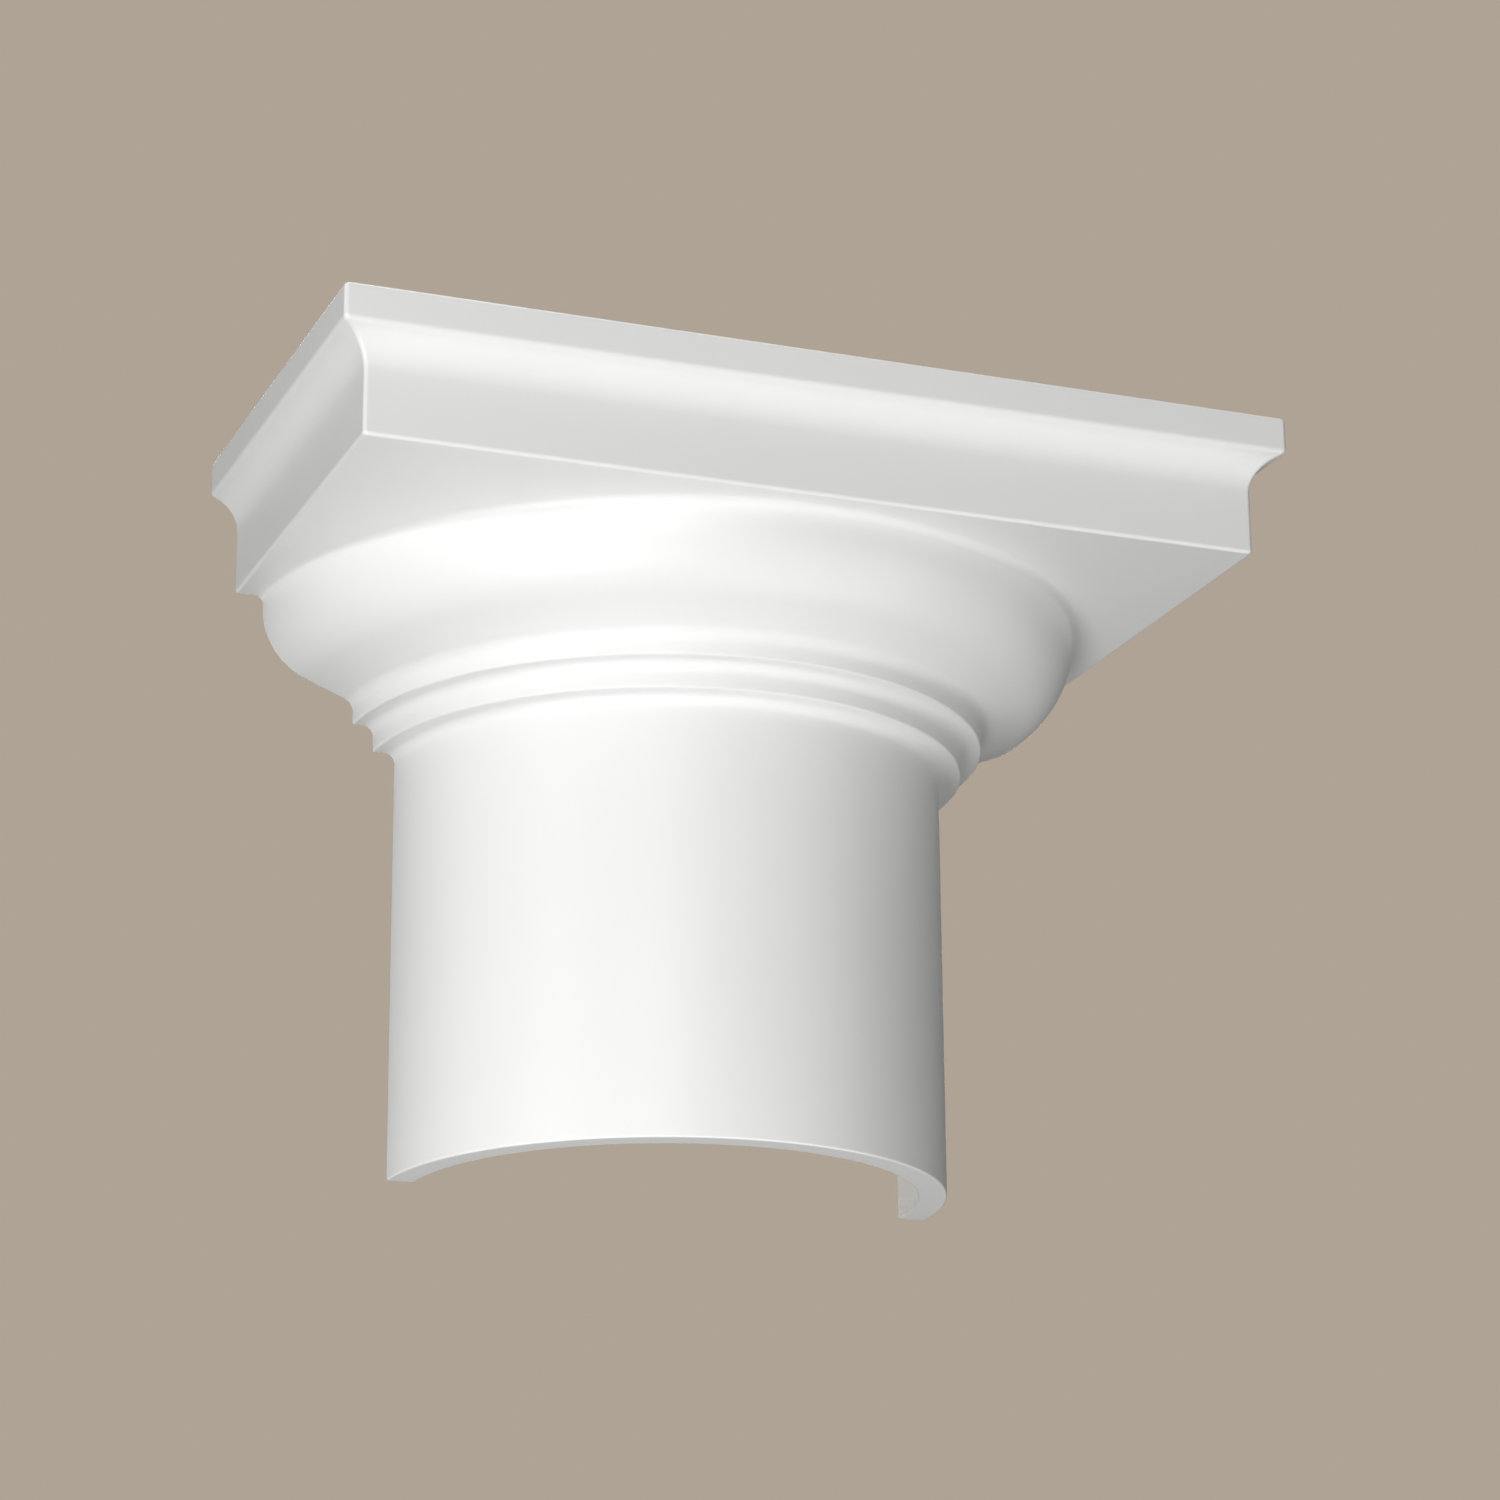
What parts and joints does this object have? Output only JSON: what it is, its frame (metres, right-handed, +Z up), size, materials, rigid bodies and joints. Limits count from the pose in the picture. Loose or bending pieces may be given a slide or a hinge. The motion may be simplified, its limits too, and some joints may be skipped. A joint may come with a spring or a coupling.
{
  "type": "doric half-column capital",
  "caption": "Half-round doric capital with a hollow neck, ringed annulets, a rounded echinus and a moulded square abacus, cut flat at the back to sit against a wall.",
  "frame": {"origin": "middle of the piece's width and depth, on the level of the neck's lower rim. The column's axis stands 84.5 mm behind it, on the wall plane", "axes": "+Z up, +Y towards the wall, +X along the wall to the right of someone who faces the piece"},
  "size_m": [0.338, 0.169, 0.254],
  "materials": {
    "white_primer": "white factory primer on smooth hard foam, satin to matt, with faint mottling and softly rounded arrises"
  },
  "bodies": {
    "root": {"half_column_capital": "white_primer"}
  },
  "joints": []
}
